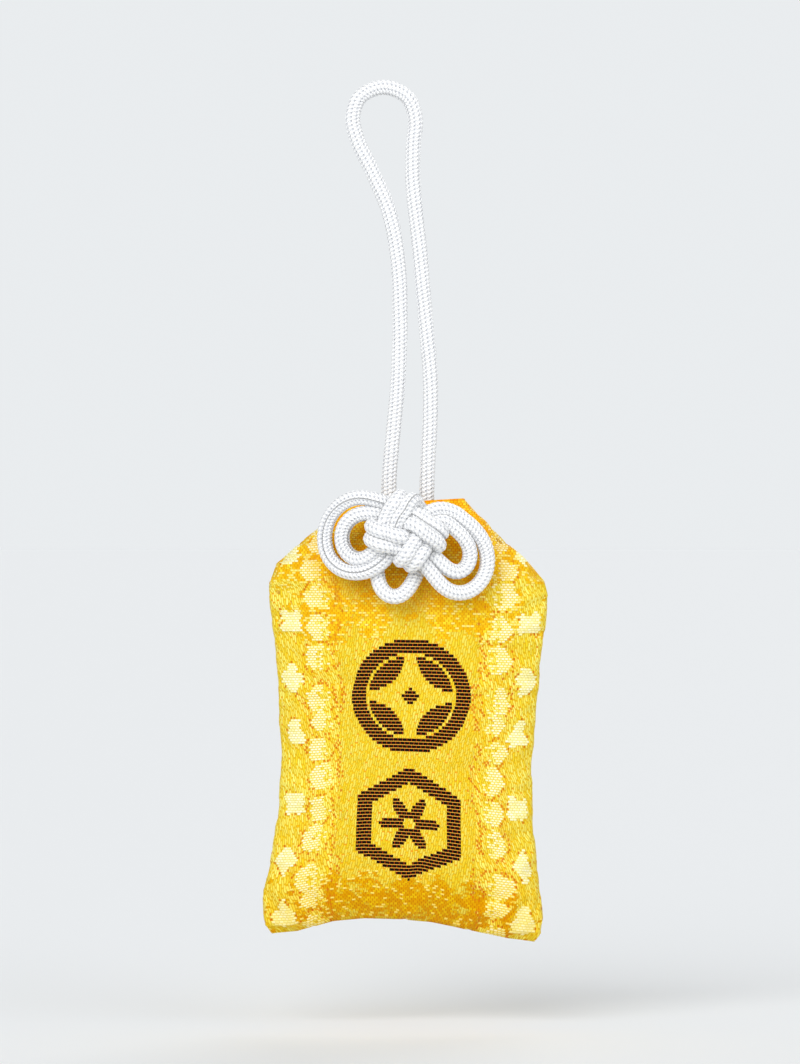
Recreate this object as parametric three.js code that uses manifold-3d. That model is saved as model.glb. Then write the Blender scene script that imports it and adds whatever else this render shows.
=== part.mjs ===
import * as THREE from "three";
import { mergeVertices } from "three/addons/utils/BufferGeometryUtils.js";
import Module from "manifold-3d";

// A brocade pouch charm that hangs on a white cord, with a double wish knot on its front.
// Millimetres, +Z up, the front faces -Y. The origin is where a hook carries the loop, inside its crown.

// Driving dimensions of the cord
const cordDiameter = 2.15;
const pressedDiameter = 1.2; // the knot's turns press into each other, so its solid is thinner
const pressGap = 0.7; // what the easing asks for between the knot's turns
const cordSpacing = 2.155; // one turn of the knot beside the next
const depthSpacing = 1.9; // one turn of the knot behind the next
const knotCentre = { x: 3.35, y: -9.5, z: -61.05 };
const earDroop = 1.7; // how far an ear's tip leans back to the pouch
const holeSpacing = 5.35;
const holeDrop = 2.4; // from the mouth's edge down to the holes
const threadDiameter = 0.4;

// Driving dimensions of the pouch
const pouchCentre = 2.95;
const pouchWidth = 38.8; // over the shoulders
const pouchHeight = 61;
const mouthHeight = -57; // of the mouth's edge
const frontDepth = 4.9; // how far the front stands out from the middle
const backDepth = 4.2;
const clothWall = 0.9; // brocade with its backing
const seamAllowance = 1.8;
const foldThickness = 0.9; // of the closed edges, outside
const slitThickness = 0.3; // of the hollow along the closed edges
const bottomRise = 2.1; // how far the bottom fold arches up
const mouthFall = 0.5; // the mouth's edge hangs lower at its left end

// Driving dimensions of the contents
const cardSize = { width: 24, height: 33, thickness: 0.6, corner: 5 };
const slipSize = { width: 17, height: 28, thickness: 1.5, corner: 3 };
const wrapperWall = 0.3;
const cardFace = 1.75; // the card's inner face, behind the middle
const wrapperBack = 1.4;
const padBack = 1.5;

// The contents' middle, from the bottom fold up to the mouth
const contentsShare = 0.475;

// Clearances
const seat = 0.3; // between pieces that touch
const overrun = 2; // of a cut beyond what it cuts
const weldReach = 1e-4;

// Counts
const axes = 3;
const cordSides = 8;
const knotSides = 8;
const threadSides = 6;
const boreSides = 12;
const pouchColumns = 14;
const loopSteps = 70;
const stemSteps = 9;

// The pouch's outline, from its bottom fold up: heights, how far each side stands out, and its depth
const outlineHeightShares = [
  0, 0.02, 0.05, 0.1, 0.16, 0.27, 0.4, 0.52, 0.63, 0.71, 0.78, 0.815, 0.86, 0.9, 0.94, 0.98, 1,
];
const outlineLeftShares = [
  0.95, 1.0, 1.02, 1.02, 0.98, 0.92, 0.89, 0.91, 0.925, 0.96, 0.98, 0.985, 0.925, 0.79, 0.65, 0.5, 0.43,
];
const outlineRightShares = [
  0.93, 0.97, 0.98, 0.97, 0.945, 0.91, 0.9, 0.935, 0.965, 1.0, 1.025, 0.99, 0.865, 0.725, 0.6, 0.47, 0.42,
];
const depthShares = [
  0.2, 0.42, 0.6, 0.78, 0.89, 0.98, 1, 1, 0.97, 0.92, 0.85, 0.81, 0.76, 0.7, 0.62, 0.54, 0.5,
];
const bottomAcrossShares = [-1, -0.8, -0.53, -0.3, -0.05, 0.2, 0.49, 0.78, 1];
const bottomRiseShares = [-0.05, 0.15, 0.8, 1, 0.95, 0.74, 0.2, -0.33, -0.6];

// Powers that shape the pouch: how flat front and back are, and how soon the ends' curves fade
const frontFlatness = 3;
const backFlatness = 7;
const bottomFade = 2;
const mouthFade = 4;

// Where the pouch's columns gather to its sides, and the rows of the pieces that follow it
const gatherShare = 0.75;
const shellRowShares = [
  0, 0.02, 0.05, 0.1, 0.16, 0.22, 0.3, 0.4, 0.5, 0.6, 0.68, 0.74, 0.78, 0.815, 0.86, 0.9, 0.94, 0.98, 1,
];
const hollowRowShares = [
  0.05, 0.1, 0.16, 0.27, 0.42, 0.52, 0.63, 0.71, 0.78, 0.815, 0.86, 0.9, 0.94, 0.98, 1,
];
const padRowShares = [0.14, 0.2, 0.3, 0.42, 0.52, 0.63, 0.71, 0.78];
const padAcrossShares = [-0.8, -0.64, -0.44, -0.24, 0, 0.24, 0.44, 0.64, 0.8];
const threadRowShares = [0.14, 0.22, 0.32, 0.42, 0.52, 0.62, 0.7, 0.77];
const threadAcrossShare = 0.94;

// A stem's way out of the pouch, in shares of the cord: out to the front, up from the hole
const stemOutShares = [1.185, 0.9, 0.35, 0];
const stemUpShares = [0, 0, 0.16, 0.62];

// The free loop's route from the left stem up round the hook and down to the right stem, in millimetres
const loopRoute = [
  [0.7, 0, -55.8], [0.75, 0, -53.6], [1.2, 0, -48.6], [1.85, 0, -42], [2.2, 0, -35.4], [2.25, 0, -31],
  [2, 0, -23.6], [0.75, 0, -16.6], [-1.75, 0, -10.6], [-3.7, 0, -6.4], [-4.38, 0, -3.2], [-3.3, 0, -0.25],
  [0, 0, 1.08], [3.25, 0, -0.3], [4.4, 0, -3.2], [4.15, 0, -7.2], [4.05, 0, -11.4], [4.45, 0, -16.4],
  [5, 0, -21.4], [5.5, 0, -27.4], [6.1, 0, -34], [6.55, 0, -40], [6.5, 0, -46], [6.2, 0, -51.6],
  [6.05, 0, -55.8],
];

// The knot's route in shares: across and up from its middle, and in layers, the front ones below 0.
// Four pairs of turns lie on the slant in front, each over one neighbour and under the other.
const knotShares = [
  [-1.22, 0.75, 3.1], [-1.2, 0.7, 2.6], [-1, 0.1, 2.15], [-0.85, -0.6, 2.1], [-0.8, -1.2, 1.5],
  [-0.62, -1.4, 0.4], [-0.4, -1.22, -0.65], [-0.05, -0.95, -1], [0.35, -0.62, -0.85],
  [0.5, -0.15, -0.1], [0.58, 0.3, 0.1], [0.9, 0.72, 0.15],
  // the right ear's outer turn
  [1.45, 0.95, 0.2], [2.1, 0.97, 0.25], [2.8, 0.9, 0.3], [3.55, 0.65, 0.3],
  [4.33, 0.05, 0.4], [4.99, -0.85, 0.6], [5.27, -1.9, 0.8],
  [5.15, -2.95, 0.8], [4.53, -3.85, 0.7], [3.61, -4.35, 0.6],
  [2.63, -4.2, 0.4], [1.85, -3.4, 0.2], [1.45, -2.5, 0.1],
  [1.15, -1.8, 0.1], [0.65, -1.35, 0.1], [0.1, -1.05, 0], [-0.5, -0.98, -0.6],
  [-1.05, -0.84, -1.05], [-1.45, -0.72, -0.75], [-1.75, -0.65, 0.2],
  // the lower bar of the cross behind
  [-1.4, -0.5, 1.05], [-0.8, -0.5, 1.2], [0.2, -0.7, 1.2], [1, -0.95, 1.15],
  [1.45, -1.15, 0.9], [1.65, -1.1, 0], [1.45, -0.95, -0.75], [1.05, -0.58, -1], [0.6, -0.15, -1],
  [0.15, 0.15, -0.75], [-0.35, 0.2, -0.05], [-0.95, 0.35, 0.15], [-1.55, 0.65, 0.15],
  // the left ear's inner turn
  [-2.25, 1.12, 0.1], [-3.05, 1.12, 0.2], [-3.75, 0.8, 0.3], [-4.25, 0.2, 0.4],
  [-4.42, -0.55, 0.5], [-4.3, -1.3, 0.6], [-3.85, -1.9, 0.5],
  [-3.25, -2.3, 0.4], [-2.6, -2.15, 0.2], [-2.05, -1.65, 0.1],
  [-1.5, -1, 0.1], [-1.3, -0.4, 0.05], [-1.3, 0.1, -0.4], [-1.15, 0.55, -0.95],
  [-0.85, 0.95, -0.85], [-0.55, 1.2, 0.2],
  // down behind, round the bottom loop and up again
  [-0.7, 1.25, 1.3], [-1.2, 1.15, 2.1], [-1.75, 0.7, 2.15],
  [-1.9, -0.3, 2.15], [-1.95, -1.6, 2], [-2, -2.4, 1.4],
  [-2.05, -3.2, 0.9], [-1.75, -4.15, 0.7], [-1.03, -4.68, 0.6], [-0.3, -4.5, 0.7], [0.2, -3.8, 0.9],
  [0.55, -3, 1.3], [0.95, -2.1, 1.9], [1.35, -1, 2.15],
  [1.8, 0, 2.15], [1.7, 0.8, 2.15], [1.15, 1.3, 1.9],
  [0.6, 1.1, 1], [0.38, 1, 0], [0.1, 0.8, -0.85], [-0.28, 0.45, -1],
  [-0.6, 0.1, -0.6], [-0.65, -0.45, 0], [-0.85, -1.2, 0.1], [-1.4, -1.95, 0.1],
  // the left ear's outer turn
  [-2.1, -2.5, 0.2], [-2.9, -2.88, 0.3], [-3.75, -2.97, 0.5],
  [-4.65, -2.6, 0.6], [-5.3, -1.8, 0.7], [-5.47, -0.75, 0.7],
  [-5.34, 0.36, 0.6], [-4.75, 1.34, 0.4], [-3.71, 2.02, 0.2], [-2.75, 2.15, 0.1], [-1.95, 1.75, 0.1],
  [-1.25, 1.05, 0.15], [-0.55, 0.75, 0.1], [0.1, 0.75, -0.35], [0.65, 0.78, -0.95],
  [1.15, 0.5, -1.05], [1.6, 0, -0.8], [1.9, -0.4, 0.1],
  // the upper bar of the cross behind
  [1.5, -0.15, 1.15], [0.8, 0.25, 1.2], [-0.2, 0.45, 1.2], [-0.95, 0.35, 1.15],
  [-1.5, 0.25, 0.9], [-1.75, 0.15, 0.1], [-1.5, 0.1, -0.7], [-1.05, -0.12, -1],
  [-0.6, -0.38, -0.95], [-0.05, -0.45, -0.3], [0.5, -0.55, 0.1], [1.2, -1, 0.1],
  // the right ear's inner turn
  [1.75, -1.6, 0.1], [2.2, -2.35, 0.2], [2.75, -2.95, 0.3], [3.35, -3.1, 0.5],
  [3.85, -2.75, 0.6], [4.15, -2.1, 0.6], [4.2, -1.4, 0.5],
  [3.95, -0.85, 0.3], [3.4, -0.2, 0.1], [2.75, 0.2, 0.1], [2.1, 0.35, 0.1],
  [1.5, 0.3, 0.1], [1.22, -0.15, 0], [1.15, -0.6, -0.4], [0.95, -1.15, -0.95],
  [0.65, -1.5, -0.8], [0.42, -1.75, 0.2],
  [0.15, -1.6, 1.3], [0.1, -1, 2.1], [0.45, -0.3, 2.15],
  [1.05, 0.45, 2.25], [1.26, 0.7, 2.6], [1.26, 0.75, 3.1],
];
const earStartShare = 2.5; // further out than this a turn belongs to an ear
const earTipShare = 5.4;
const lowStartShare = -2.9; // further down than this it belongs to the bottom loop

// The easing that keeps the knot's turns apart
const pointSpacing = 0.9; // from one point of the cord to the next
const easeRounds = 400;
const easeSkip = 5; // points along the cord that don't push each other
const curveDivisions = 12;
const pushShare = 0.9;
const smoothShare = 0.15;
const settledSmoothShare = 0.03;
const settlingStartShare = 0.7;
const earHoldShare = 0.45; // how firmly the ears stay where they were laid
const bodyHoldShare = 0.02;

const wasm = await Module();
wasm.setup();

// Helpers
const bare = (geometry) => {
  const plain = new THREE.BufferGeometry();
  const loose = geometry.index ? geometry.toNonIndexed() : geometry;
  plain.setAttribute("position", loose.getAttribute("position"));
  return mergeVertices(plain, weldReach);
};

const solid = (geometry) => {
  const merged = bare(geometry);
  return new wasm.Manifold(
    new wasm.Mesh({
      numProp: axes,
      vertProperties: new Float32Array(merged.attributes.position.array),
      triVerts: new Uint32Array(merged.index.array),
    }),
  );
};

const geometryOf = (manifold) => {
  const mesh = manifold.getMesh();
  const geometry = new THREE.BufferGeometry();
  geometry.setAttribute("position", new THREE.BufferAttribute(new Float32Array(mesh.vertProperties), axes));
  geometry.setIndex(new THREE.BufferAttribute(new Uint32Array(mesh.triVerts), 1));
  return geometry;
};

const spread = (shares, places, at) => {
  let k = 0;
  while (k < places.length - 2 && at > places[k + 1]) k += 1;
  const part = THREE.MathUtils.clamp((at - places[k]) / (places[k + 1] - places[k]), 0, 1);
  return shares[k] + (shares[k + 1] - shares[k]) * part;
};

const roundSection = (diameter, sides) => {
  const section = new THREE.Shape();
  for (let k = 0; k < sides; k += 1) {
    const angle = ((k + 0.5) * 2 * Math.PI) / sides;
    const x = (Math.cos(angle) * diameter) / 2;
    const y = (Math.sin(angle) * diameter) / 2;
    if (k === 0) section.moveTo(x, y);
    else section.lineTo(x, y);
  }
  section.closePath();
  return section;
};

const tube = (points, diameter, sides, steps) =>
  new THREE.ExtrudeGeometry(roundSection(diameter, sides), {
    steps,
    extrudePath: new THREE.CatmullRomCurve3(points, false, "centripetal"),
  });

// A cord whose ends are round, so that it can turn in its place
const roundEnded = (points, diameter, sides, steps = points.length - 1) => {
  let body = solid(tube(points, diameter, sides, steps));
  for (const end of [points[0], points[points.length - 1]]) {
    const ball = new THREE.SphereGeometry(diameter / 2, sides, sides / 2);
    ball.translate(end.x, end.y, end.z);
    body = body.add(solid(ball));
  }
  return geometryOf(body);
};

// Pouch
const pouchBottom = mouthHeight - pouchHeight;
const contentsMiddle = pouchBottom + contentsShare * pouchHeight;

// A point of the pouch's front or back: across from -1 to 1, up from 0 to 1, inset from the outside
const pouchPoint = (across, up, front, wall, inset, edge) => {
  const side = across < 0 ? outlineLeftShares : outlineRightShares;
  const halfWidth = (spread(side, outlineHeightShares, up) * pouchWidth) / 2 - inset;
  const flatness = front ? frontFlatness : backFlatness;
  const full = (front ? frontDepth : backDepth) * spread(depthShares, outlineHeightShares, up) - wall;
  const bulge = Math.sqrt(Math.max(0, 1 - Math.abs(across) ** flatness));
  const depth = edge / 2 + Math.max(0, full - edge / 2) * bulge;
  const rise = bottomRise * spread(bottomRiseShares, bottomAcrossShares, across) * (1 - up) ** bottomFade;
  const fall = mouthFall * across * up ** mouthFade;
  return new THREE.Vector3(
    pouchCentre + across * halfWidth,
    front ? -depth : depth,
    pouchBottom + up * pouchHeight + rise + fall,
  );
};

// A closed body from rings that each run along the front and return along the back
const ringBody = (rings) => {
  const count = rings[0].length;
  const positions = rings.flat().flatMap((p) => [p.x, p.y, p.z]);
  const faces = [];
  for (let r = 0; r < rings.length - 1; r += 1) {
    for (let k = 0; k < count; k += 1) {
      const a = r * count + k;
      const b = r * count + ((k + 1) % count);
      faces.push(a, b, b + count, a, b + count, a + count);
    }
  }
  const last = (rings.length - 1) * count;
  for (let k = 0; k < count / 2 - 1; k += 1) {
    const far = count - 1 - k;
    faces.push(k, far, far - 1, k, far - 1, k + 1);
    faces.push(last + k, last + k + 1, last + far - 1, last + k, last + far - 1, last + far);
  }
  const geometry = new THREE.BufferGeometry();
  geometry.setAttribute("position", new THREE.Float32BufferAttribute(positions, axes));
  geometry.setIndex(faces);
  return geometry;
};

const columnShares = Array.from({ length: pouchColumns + 1 }, (_, k) => {
  const even = (2 * k) / pouchColumns - 1;
  return Math.sin((even * Math.PI) / 2) * gatherShare + even * (1 - gatherShare);
});

const pouchRing = (up, wall, inset, edge) => [
  ...columnShares.map((across) => pouchPoint(across, up, true, wall, inset, edge)),
  ...columnShares.toReversed().map((across) => pouchPoint(across, up, false, wall, inset, edge)),
];

const holeXs = [knotCentre.x - holeSpacing / 2, knotCentre.x + holeSpacing / 2];
const holeZ = mouthHeight - holeDrop;

const brocadePouch = () => {
  const outer = solid(ringBody(shellRowShares.map((up) => pouchRing(up, 0, 0, foldThickness))));
  const rings = hollowRowShares.map((up) => pouchRing(up, clothWall, seamAllowance, slitThickness));
  rings.push(rings[rings.length - 1].map((p) => new THREE.Vector3(p.x, p.y, p.z + overrun)));
  let shell = outer.subtract(solid(ringBody(rings)));
  const boreRadius = cordDiameter / 2 + seat;
  for (const x of holeXs) {
    const bore = new THREE.CylinderGeometry(boreRadius, boreRadius, frontDepth, boreSides);
    bore.translate(x, -frontDepth / 2, holeZ);
    shell = shell.subtract(solid(bore));
  }
  return geometryOf(shell);
};

// Contents
const board = (size, y) => {
  const half = size.width / 2;
  const outline = new THREE.Shape();
  outline.moveTo(-half, -size.height / 2);
  outline.lineTo(half, -size.height / 2);
  outline.lineTo(half, size.height / 2 - size.corner);
  outline.lineTo(half - size.corner, size.height / 2);
  outline.lineTo(size.corner - half, size.height / 2);
  outline.lineTo(-half, size.height / 2 - size.corner);
  outline.closePath();
  const plate = new THREE.ExtrudeGeometry(outline, { depth: size.thickness, bevelEnabled: false });
  plate.rotateX(Math.PI / 2);
  plate.translate(pouchCentre, y + size.thickness, contentsMiddle);
  return plate;
};

const wrapperDepth = slipSize.thickness + 2 * (seat + wrapperWall);
const slipFace = wrapperBack - wrapperWall - seat - slipSize.thickness;

// A sheet of paper folded round the slip, open above and below
const slipWrapper = () => {
  const half = slipSize.width / 2 + seat + wrapperWall;
  const outline = new THREE.Shape();
  outline.moveTo(-half, 0);
  outline.lineTo(half, 0);
  outline.lineTo(half, wrapperDepth);
  outline.lineTo(-half, wrapperDepth);
  outline.closePath();
  const hollow = new THREE.Path();
  hollow.moveTo(-half + wrapperWall, wrapperWall);
  hollow.lineTo(-half + wrapperWall, wrapperDepth - wrapperWall);
  hollow.lineTo(half - wrapperWall, wrapperDepth - wrapperWall);
  hollow.lineTo(half - wrapperWall, wrapperWall);
  hollow.closePath();
  outline.holes.push(hollow);
  const length = slipSize.height + slipSize.corner;
  const sleeve = new THREE.ExtrudeGeometry(outline, { depth: length, bevelEnabled: false });
  sleeve.translate(pouchCentre, wrapperBack - wrapperDepth, contentsMiddle - length / 2);
  return sleeve;
};

// The pad fills the front between the wrapped slip and the cloth, and its rim is flat
const waddingPad = () => {
  const lastRow = padRowShares.length - 1;
  const lastColumn = padAcrossShares.length - 1;
  const rings = padRowShares.map((up, row) => {
    const front = padAcrossShares.map((across, column) => {
      const p = pouchPoint(across, up, true, clothWall + seat, seamAllowance, slitThickness);
      const rim = row === 0 || row === lastRow || column === 0 || column === lastColumn;
      return new THREE.Vector3(p.x, rim ? -padBack - seat : Math.min(p.y, -padBack - 2 * seat), p.z);
    });
    const back = front.toReversed().map((p) => new THREE.Vector3(p.x, -padBack, p.z));
    return [...front, ...back];
  });
  return ringBody(rings);
};

const seamThread = (across) => {
  const route = threadRowShares.map((up) => {
    const p = pouchPoint(across, up, true, clothWall, seamAllowance, slitThickness);
    return new THREE.Vector3(p.x, 0, p.z);
  });
  return tube(route, threadDiameter, threadSides, route.length * 2);
};

// Cord
const loopLine = loopRoute.map((p) => new THREE.Vector3(...p));

// A stem goes down inside the mouth, bends and comes out of its hole to the knot
const cordStem = (x) => {
  const route = stemOutShares.map((outShare, k) => {
    const up = stemUpShares[k] * cordDiameter;
    return new THREE.Vector3(x, -outShare * cordDiameter, holeZ + up);
  });
  route.push(new THREE.Vector3(x, 0, mouthHeight - seat / 2));
  return tube(route, cordDiameter, cordSides, stemSteps);
};

// Pushes every two points of the line that lie too close half of what they lack
const pushes = (line, least) => {
  const push = line.map(() => new THREE.Vector3());
  const touches = line.map(() => 0);
  for (let a = 0; a < line.length; a += 1) {
    for (let b = a + easeSkip; b < line.length; b += 1) {
      if (line[a].distanceToSquared(line[b]) >= least * least) continue;
      const apart = line[b].clone().sub(line[a]);
      const length = Math.max(apart.length(), weldReach);
      apart.multiplyScalar((least - length) / 2 / length);
      push[a].sub(apart);
      push[b].add(apart);
      touches[a] += 1;
      touches[b] += 1;
    }
  }
  return push.map((p, k) => p.multiplyScalar(pushShare / Math.max(touches[k], 1)));
};

// The knot's points are laid evenly along the route, and turns that lie too close are pushed apart
const knotLine = () => {
  const laid = knotShares.map(
    ([x, z, layer]) => new THREE.Vector3(x * cordSpacing, layer * depthSpacing, z * cordSpacing),
  );
  const curve = new THREE.CatmullRomCurve3(laid, false, "centripetal");
  curve.arcLengthDivisions = laid.length * curveDivisions;
  const home = curve.getSpacedPoints(Math.round(curve.getLength() / pointSpacing));
  const held = (p) => Math.abs(p.x) > earStartShare * cordSpacing || p.z < lowStartShare * cordSpacing;
  const holdShares = home.map((p) => (held(p) ? earHoldShare : bodyHoldShare));
  let line = home.map((p) => p.clone());
  for (let round = 0; round < easeRounds; round += 1) {
    const settling = round >= easeRounds * settlingStartShare;
    const push = pushes(line, pressedDiameter + pressGap);
    const moved = line.map((p, k) => p.clone().add(push[k]));
    line = moved.map((p, k) => {
      if (k < 2 || k > line.length - 1 - 2) return home[k].clone();
      const middle = moved[k - 1].clone().add(moved[k + 1]).divideScalar(2).sub(p);
      const back = home[k].clone().sub(p);
      const eased = p.clone().addScaledVector(middle, settling ? settledSmoothShare : smoothShare);
      return eased.addScaledVector(back, settling ? 0 : holdShares[k]);
    });
  }
  return line.map((p) => {
    const lean = earDroop * (Math.abs(p.x) / (earTipShare * cordSpacing)) ** 2;
    return new THREE.Vector3(knotCentre.x + p.x, knotCentre.y + p.y + lean, knotCentre.z + p.z);
  });
};

// How near the cord comes to itself, leaving out its neighbours within three diameters along it
const leastGap = (line, diameter) => {
  const curve = new THREE.CatmullRomCurve3(line, false, "centripetal");
  const points = curve.getSpacedPoints(line.length * axes);
  const skip = Math.ceil((diameter * axes) / (curve.getLength() / points.length));
  let least = Infinity;
  for (let a = 0; a < points.length; a += 1) {
    for (let b = a + skip; b < points.length; b += 1) {
      least = Math.min(least, points[a].distanceTo(points[b]));
    }
  }
  return { gap: least - diameter, length: curve.getLength() };
};

const knotRoute = knotLine();
const tell = (name, line, diameter) => {
  const { gap, length } = leastGap(line, diameter);
  console.log(`${name}: least gap to itself ${gap.toFixed(2)} mm, length ${length.toFixed(0)} mm`);
};
tell("knot", knotRoute, pressedDiameter);
tell("loop", loopLine, cordDiameter);

// Assembly
const brocade = new THREE.MeshStandardMaterial({ color: 0xd9a52e, roughness: 0.55, metalness: 0 });
const cord = new THREE.MeshStandardMaterial({ color: 0xf1eee6, roughness: 0.8, metalness: 0 });
const thread = new THREE.MeshStandardMaterial({ color: 0xe0b64a, roughness: 0.7, metalness: 0 });
const wadding = new THREE.MeshStandardMaterial({ color: 0xf4f1ea, roughness: 1, metalness: 0 });
const greyCard = new THREE.MeshStandardMaterial({ color: 0x9c9482, roughness: 0.9, metalness: 0 });
const whitePaper = new THREE.MeshStandardMaterial({ color: 0xf5f2e8, roughness: 0.9, metalness: 0 });
const paleWood = new THREE.MeshStandardMaterial({ color: 0xd8b98a, roughness: 0.7, metalness: 0 });

const charm = new THREE.Group();
const add = (name, geometry, material) => {
  const mesh = new THREE.Mesh(bare(geometry), material);
  mesh.name = name;
  charm.add(mesh);
};

add("brocade_pouch", brocadePouch(), brocade);
add("left_seam_thread", seamThread(-threadAcrossShare), thread);
add("right_seam_thread", seamThread(threadAcrossShare), thread);
add("wadding_pad", waddingPad(), wadding);
add("stiffening_card", board(cardSize, cardFace), greyCard);
add("slip_wrapper", slipWrapper(), whitePaper);
add("inner_slip", board(slipSize, slipFace), paleWood);
add("hanging_loop", roundEnded(loopLine, cordDiameter, cordSides, loopSteps), cord);
add("left_cord_stem", cordStem(holeXs[0]), cord);
add("right_cord_stem", cordStem(holeXs[1]), cord);
add("wish_knot", roundEnded(knotRoute, pressedDiameter, knotSides), cord);

export default charm;
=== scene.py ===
import math

import bpy
import numpy as np
from mathutils import Matrix, Vector


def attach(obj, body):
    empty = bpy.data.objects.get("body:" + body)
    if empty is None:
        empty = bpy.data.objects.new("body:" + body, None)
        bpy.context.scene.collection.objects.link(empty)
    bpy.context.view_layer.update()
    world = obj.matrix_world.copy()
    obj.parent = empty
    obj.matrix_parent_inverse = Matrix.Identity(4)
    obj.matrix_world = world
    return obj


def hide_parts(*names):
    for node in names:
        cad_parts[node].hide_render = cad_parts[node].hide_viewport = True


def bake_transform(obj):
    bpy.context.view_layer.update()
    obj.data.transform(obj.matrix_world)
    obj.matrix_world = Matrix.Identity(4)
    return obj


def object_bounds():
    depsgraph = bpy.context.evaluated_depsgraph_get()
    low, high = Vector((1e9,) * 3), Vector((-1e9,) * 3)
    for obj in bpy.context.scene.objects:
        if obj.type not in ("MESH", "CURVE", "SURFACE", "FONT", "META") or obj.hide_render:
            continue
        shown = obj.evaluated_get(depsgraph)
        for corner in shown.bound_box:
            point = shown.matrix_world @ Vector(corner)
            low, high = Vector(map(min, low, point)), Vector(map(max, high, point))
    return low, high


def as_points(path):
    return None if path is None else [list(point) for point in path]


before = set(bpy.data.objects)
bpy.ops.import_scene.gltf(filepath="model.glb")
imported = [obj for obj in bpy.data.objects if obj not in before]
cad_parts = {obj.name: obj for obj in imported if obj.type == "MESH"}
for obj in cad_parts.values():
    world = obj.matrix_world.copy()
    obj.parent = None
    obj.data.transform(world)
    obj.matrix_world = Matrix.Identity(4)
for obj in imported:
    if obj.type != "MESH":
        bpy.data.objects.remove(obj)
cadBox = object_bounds()
mm = 0.001


def linked(name, data):
    obj = bpy.data.objects.new(name, data)
    bpy.context.scene.collection.objects.link(obj)
    return obj


# The photo looks straight at the charm. Its pixels "left" and "top" are where the frame's origin lies.
photo = {"width": 800, "height": 1064, "left": 383.9, "top": 95, "perMm": 7.1, "distance": 0.7, "sensor": 36}


def makeCamera():
    pixel = mm / photo["perMm"]
    data = bpy.data.cameras.new("camera")
    data.sensor_fit = "VERTICAL"
    data.sensor_height = photo["sensor"]
    data.lens = photo["sensor"] * photo["distance"] / (photo["height"] * pixel)
    data.clip_start = 0.01
    data.clip_end = 20
    camera = linked("camera", data)
    aside, up = photo["width"] / 2 - photo["left"], photo["top"] - photo["height"] / 2
    camera.location = (aside * pixel, -photo["distance"], up * pixel)
    camera.rotation_euler = (math.radians(90), 0, 0)
    bpy.context.scene.camera = camera


makeCamera()


# A smooth curve through points, whose spans don't overshoot however uneven they are
def splinePoints(points, perSpan=14):
    p = np.array(points, float)
    p = np.vstack([2 * p[0] - p[1], p, 2 * p[-1] - p[-2]])
    fine = []
    for k in range(1, len(p) - 2):
        a, b, c, d = p[k - 1], p[k], p[k + 1], p[k + 2]
        ta = np.linalg.norm(b - a) ** 0.5
        tb = np.linalg.norm(c - b) ** 0.5
        tc = np.linalg.norm(d - c) ** 0.5
        m1 = ((b - a) / ta - (c - a) / (ta + tb) + (c - b) / tb) * tb
        m2 = ((c - b) / tb - (d - b) / (tb + tc) + (d - c) / tc) * tb
        t = np.linspace(0, 1, perSpan, endpoint=False)[:, None]
        start = (2 * t**3 - 3 * t**2 + 1) * b + (t**3 - 2 * t**2 + t) * m1
        fine.append(start + (3 * t**2 - 2 * t**3) * c + (t**3 - t**2) * m2)
    return np.vstack(fine + [p[-2:-1]])


def evenly(line, step):
    along = np.concatenate([[0], np.cumsum(np.linalg.norm(np.diff(line, axis=0), axis=1))])
    count = max(int(round(along[-1] / step)), 2)
    places = np.linspace(0, along[-1], count + 1)
    return np.stack([np.interp(places, along, line[:, k]) for k in range(3)], axis=1), along[-1]


def newObject(name, verts, faces, material, smooth=True):
    mesh = bpy.data.meshes.new(name)
    mesh.from_pydata([tuple(v) for v in verts], [], [tuple(f) for f in faces])
    mesh.update()
    obj = linked(name, mesh)
    mesh.materials.append(material)
    mesh.polygons.foreach_set("use_smooth", [smooth] * len(mesh.polygons))
    return obj


# Faces between rings of points that are stacked one after the other
def ringFaces(rings, count):
    faces = []
    for base in range(0, (rings - 1) * count, count):
        for k in range(count):
            n = (k + 1) % count
            faces.append((base + k, base + n, base + count + n, base + count + k))
    return faces


def setAttribute(obj, name, values):
    attribute = obj.data.attributes.new(name, "FLOAT_VECTOR", "POINT")
    attribute.data.foreach_set("vector", np.asarray(values, np.float32).ravel())


# A closed tube along a line. Its surface gives how far out each point lies and a value for the material.
def sweptTube(name, line, surface, material, step, sides):
    pts, length = evenly(line, step)
    tangents = np.gradient(pts, axis=0)
    tangents /= np.linalg.norm(tangents, axis=1)[:, None]
    normal = np.cross(tangents[0], (0.3, 0.9, 0.1))
    normals = []
    for t in tangents:
        normal = normal - t * normal.dot(t)
        normal /= np.linalg.norm(normal)
        normals.append(normal)
    normals = np.array(normals)
    sideways = np.cross(tangents, normals)
    along = np.linspace(0, length, len(pts))[:, None]
    angle = np.arange(sides)[None, :] / sides
    height, third = surface(angle, along)
    cos, sin = np.cos(2 * np.pi * angle)[..., None], np.sin(2 * np.pi * angle)[..., None]
    verts = pts[:, None, :] + height[..., None] * (cos * normals[:, None, :] + sin * sideways[:, None, :])
    rows = len(pts)
    uv = [np.broadcast_to(angle, height.shape), np.broadcast_to(along / mm, height.shape), third]
    uv = np.stack(uv, axis=2)
    verts = np.vstack([verts.reshape(-1, 3), pts[:1], pts[-1:]])
    uv = np.vstack([uv.reshape(-1, 3), [[0, 0, 0]], [[0, length / mm, 0]]])
    faces = ringFaces(rows, sides)
    first, last, end = rows * sides, rows * sides + 1, (rows - 1) * sides
    for k in range(sides):
        n = (k + 1) % sides
        faces.append((first, n, k))
        faces.append((last, end + k, end + n))
    obj = newObject(name, verts, faces, material)
    setAttribute(obj, "braid", uv)
    return obj, length


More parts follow.
